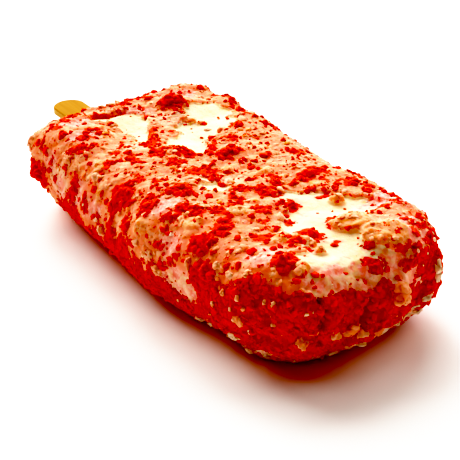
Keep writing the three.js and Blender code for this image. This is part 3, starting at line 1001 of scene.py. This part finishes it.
class ICEBAR_OT_red_crumbs(bpy.types.Operator):
    """Strew red cake crumbs, coarse, fine and matted, and set the large red clusters"""

    bl_idname = "icebar.red_crumbs"
    bl_label = "Red crumbs"

    def execute(self, context):
        props = context.scene.icebar_crumbs
        look = red_crumb_material(props), "red_crumb"
        strew("red_crumbs", *look, grows="red_grows", per_cm2=props.red_crumbs, sizes=(0.7, 2.2), sunk=0.05,
              flatness=0.7, seed=props.seed, corners=14)
        strew("red_dust", *look, grows="red_dust_grows", per_cm2=props.red_dust, sizes=(0.35, 0.9), sunk=0.1,
              flatness=0.45, seed=props.seed + 1, corners=10)
        set_lumps("red_clusters", *look, RED_LUMPS, props.seed, *BLOCKY)
        strew("red_matted_crumbs", *look, grows="red_packed", per_cm2=props.red_matted, sizes=(0.8, 2.0),
              sunk=0.1, flatness=0.5, seed=props.seed + 5, corners=14)
        return {"FINISHED"}


class ICEBAR_OT_biscuit_crumbs(bpy.types.Operator):
    """Strew biscuit crumbs, coarse and fine, and set the large biscuit pieces"""

    bl_idname = "icebar.biscuit_crumbs"
    bl_label = "Biscuit crumbs"

    def execute(self, context):
        props = context.scene.icebar_crumbs
        look = biscuit_crumb_material(props), "biscuit_crumb"
        make = partial(strew, sunk=0.14, flatness=0.5, shade_smooth=True)
        make("biscuit_crumbs", *look, grows="biscuit_grows", per_cm2=props.biscuit_crumbs, sizes=(0.8, 2.4),
             seed=props.seed + 2, corners=18)
        make("biscuit_dust", *look, grows="biscuit_dust_grows", per_cm2=props.biscuit_dust, sizes=(0.4, 1.0),
             seed=props.seed + 3, corners=12)
        set_lumps("biscuit_pieces", *look, BISCUIT_LUMPS, props.seed, *CRUMBLY)
        return {"FINISHED"}


class ICEBAR_OT_flecks(bpy.types.Operator):
    """Strew pale and pink flakes of ice cream and set its larger lumps"""

    bl_idname = "icebar.flecks"
    bl_label = "Ice cream flakes"

    def execute(self, context):
        props = context.scene.icebar_crumbs
        look = fleck_material(props), "ice_cream"
        strew("ice_cream_flakes", *look, grows="flecks_grow", per_cm2=props.flecks, sizes=(0.5, 1.3),
              sunk=0.0, flatness=0.6, seed=props.seed + 4, corners=12)
        set_lumps("ice_cream_lumps", *look, PALE_LUMPS, props.seed, *CRUMBLY)
        return {"FINISHED"}


# --- The stick ---------------------------------------------------------------------------------------------


def stick_material(props):
    """Birch, sliced and stamped, soaked golden by the melt: a dry wood with fine grain along the stick."""
    material, tree, shader = new_material("sliced_birch", 0.8, 0.08)
    node = partial(add_node, tree)
    where = node(WHERE)
    stretched = node(("ShaderNodeMapping", {}, ("Vector", "Scale"), "Vector"), where, (0.06, 1.0, 1.0))
    grain = node(NOISE, stretched, 1 / (0.9 * MM), 4, 0.2)
    soak = node(NOISE, where, 1 / (9.0 * MM), 2)
    colour = node(MIX, node(STRETCH, grain, 0.35, 0.68), props.wood, props.wood_dark)
    normal = node(("ShaderNodeNewGeometry", {}, (), "Normal"))
    upward = node(("ShaderNodeSeparateXYZ", {}, ("Vector",), "Z"), normal)
    edge = node(STRETCH, node(ABSOLUTE, upward), 0.6, 0.2)
    colour = node(MIX, edge, colour, props.wood_edge)
    colour = node(MIX, node(MULTIPLY, node(STRETCH, soak, 0.4, 0.7), 0.5), colour, props.wood_dark)
    dress(tree, shader, colour, grain, 0.06)
    return material


class StickProperties(bpy.types.PropertyGroup):
    """Colours of the wooden stick."""

    wood: colour("Wood", "Soaked birch", "A67428")
    wood_dark: colour("Grain", "Darker grain", "9C6C24")
    wood_edge: colour("Edge", "Stamped edge", "CCA868")


class ICEBAR_OT_stick(bpy.types.Operator):
    """Finish the CAD stick as birch"""

    bl_idname = "icebar.stick"
    bl_label = "Wooden stick"

    def execute(self, context):
        stick = frame["nodes"][STICK_NODE]
        material = stick_material(context.scene.icebar_stick)
        if stick.material_slots:
            for slot in stick.material_slots:
                slot.material = material
        else:
            stick.data.materials.append(material)
        return {"FINISHED"}


# --- The studio --------------------------------------------------------------------------------------------
# Where the camera aims, in millimetres from the middle of the bar.
AIM = Vector((7.1, -3.8, -1.0))
# How far below the bar the floor lies, so that the two don't flicker, in millimetres.
FLOOR_DROP = 0.05
# Half the floor's width in metres: wide enough that its edge is never seen.
FLOOR_HALF = 20.0
# How much lighter than full white the surroundings show, so that they clip cleanly.
BEYOND_WHITE = 1.2
# The studio's windows: turn round the bar and height angle in degrees, and share of the light.
WINDOWS = [(180, 34, 0.14), (236, 34, 0.35), (266, 34, 0.46), (312, 62, 0.06)]


class StageProperties(bpy.types.PropertyGroup):
    """Camera, lights and floor."""

    azimuth: FloatProperty(
        name="Azimuth", description="Camera's turn round the bar", subtype="ANGLE", default=math.radians(55.3)
    )
    elevation: FloatProperty(
        name="Elevation", description="Camera's height angle", subtype="ANGLE", default=math.radians(29.2)
    )
    distance: FloatProperty(
        name="Distance", description="From the camera to its aim", unit="LENGTH", default=0.2489
    )
    lens: FloatProperty(name="Lens", description="Focal length in millimetres", default=93.9)
    windows: FloatProperty(name="Windows", description="Strength of all the windows together", default=16.8)
    window_width: FloatProperty(
        name="Window width", description="How wide each window looks", subtype="ANGLE",
        default=math.radians(44),
    )
    fill: FloatProperty(name="Fill", description="Strength of the light from all round", default=0.09)
    contrast: FloatProperty(name="Contrast", description="1 is neutral, lower is harder", default=0.8)
    black_level: FloatVectorProperty(
        name="Black level", description="Light that still shows as black, which makes shadows deep and rich",
        default=(0.02, 0.11, 0.14),
    )
    white_level: FloatProperty(name="White level", description="Light that shows as full white", default=2.0)
    fill_colour: colour("Fill colour", "Tint of the light from all round", "FFCCAC")
    floor: colour("Floor", "Pale floor", "FFFAF4")


def direction_from(azimuth, elevation):
    """The direction from a target towards something at that azimuth and elevation."""
    level = math.cos(elevation)
    return Vector((math.sin(azimuth) * level, -math.cos(azimuth) * level, math.sin(elevation)))


def look_at(thing, position, target):
    thing.location = position
    thing.rotation_euler = (position - target).to_track_quat("Z", "Y").to_euler()


def make_camera(props):
    aim = BAR_MIDDLE + AIM * MM
    data = bpy.data.cameras.new("camera")
    data.lens = props.lens
    data.clip_start = 0.01
    camera = new_object("camera", data)
    look_at(camera, aim + direction_from(props.azimuth, props.elevation) * props.distance, aim)
    bpy.context.scene.camera = camera


def make_windows(props):
    """A row of soft lights round the bar's far side, all as far away as windows, so that they fall evenly."""
    for index, (azimuth, elevation, share) in enumerate(WINDOWS):
        data = bpy.data.lights.new(f"window_{index}", "SUN")
        data.energy = props.windows * share
        data.angle = props.window_width
        light = new_object(data.name, data)
        look_at(light, direction_from(math.radians(azimuth), math.radians(elevation)), Vector())


def make_world(props):
    world = bpy.data.worlds.new("studio")
    bpy.context.scene.world = world
    world.use_nodes = True
    tree = world.node_tree
    tree.nodes.clear()
    node = partial(add_node, tree)
    fill = node(BACKGROUND, props.fill_colour, props.fill)
    white = node(BACKGROUND, (1, 1, 1), BEYOND_WHITE * props.white_level)
    seen = node(("ShaderNodeLightPath", {}, (), "Is Camera Ray"))
    mixed = node(("ShaderNodeMixShader", {}, (0, 1, 2), "Shader"), seen, fill, white)
    node(("ShaderNodeOutputWorld", {}, ("Surface",), None), mixed)


def make_floor(props):
    """A matt white table top."""
    work = bmesh.new()
    bmesh.ops.create_grid(work, x_segments=1, y_segments=1, size=FLOOR_HALF)
    mesh = bpy.data.meshes.new("floor")
    work.to_mesh(mesh)
    work.free()
    floor = new_object("floor", mesh)
    floor.location.z = CAD_BOX[0][2] - FLOOR_DROP * MM
    material, tree, shader = new_material("white_laminate", 0.9, 0.1)
    feed(tree, shader.inputs["Base Color"], props.floor)
    mesh.materials.append(material)


class ICEBAR_OT_stage(bpy.types.Operator):
    """Set up the camera, the soft lights, the fill and the pale floor"""

    bl_idname = "icebar.stage"
    bl_label = "Studio"

    def execute(self, context):
        props = context.scene.icebar_stage
        make_camera(props)
        make_windows(props)
        make_world(props)
        make_floor(props)
        view = context.scene.view_settings
        view.view_transform = "Standard"
        view.look = "None"
        view.gamma = props.contrast
        view.use_curve_mapping = True
        curves = view.curve_mapping
        curves.black_level = props.black_level
        curves.white_level = [props.white_level] * 3
        for level in (0.25, 0.5, 0.75):
            curves.curves[3].points.new(level, level * (2 - level))
        curves.update()
        return {"FINISHED"}


# --- Add-on ------------------------------------------------------------------------------------------------

STEPS = [ICEBAR_OT_stage, ICEBAR_OT_bar, ICEBAR_OT_red_crumbs, ICEBAR_OT_biscuit_crumbs, ICEBAR_OT_flecks,
         ICEBAR_OT_stick]
GROUPS = {
    "icebar_stage": StageProperties,
    "icebar_bar": BarProperties,
    "icebar_crumbs": CrumbProperties,
    "icebar_stick": StickProperties,
}


class ICEBAR_PT_panel(bpy.types.Panel):
    """Lists the bar's steps and their settings"""

    bl_label = "Ice cream bar"
    bl_idname = "ICEBAR_PT_panel"
    bl_space_type = "VIEW_3D"
    bl_region_type = "UI"
    bl_category = "Ice cream bar"

    def draw(self, context):
        for step in STEPS:
            self.layout.operator(step.bl_idname)
        for name, group in GROUPS.items():
            box = self.layout.box()
            for setting in group.__annotations__:
                box.prop(getattr(context.scene, name), setting)


def register():
    for group in GROUPS.values():
        bpy.utils.register_class(group)
    for step in STEPS:
        bpy.utils.register_class(step)
    bpy.utils.register_class(ICEBAR_PT_panel)
    for name, group in GROUPS.items():
        setattr(bpy.types.Scene, name, PointerProperty(type=group))


def unregister():
    for name in GROUPS:
        delattr(bpy.types.Scene, name)
    bpy.utils.unregister_class(ICEBAR_PT_panel)
    for step in reversed(STEPS):
        bpy.utils.unregister_class(step)
    for group in reversed(list(GROUPS.values())):
        bpy.utils.unregister_class(group)


def plain(box):
    return [[float(value) for value in corner] for corner in box]


def main():
    register()
    bpy.ops.icebar.stage()
    bpy.ops.icebar.bar()
    bpy.ops.icebar.red_crumbs()
    bpy.ops.icebar.biscuit_crumbs()
    bpy.ops.icebar.flecks()
    bpy.ops.icebar.stick()


if __name__ == "__main__":
    main()
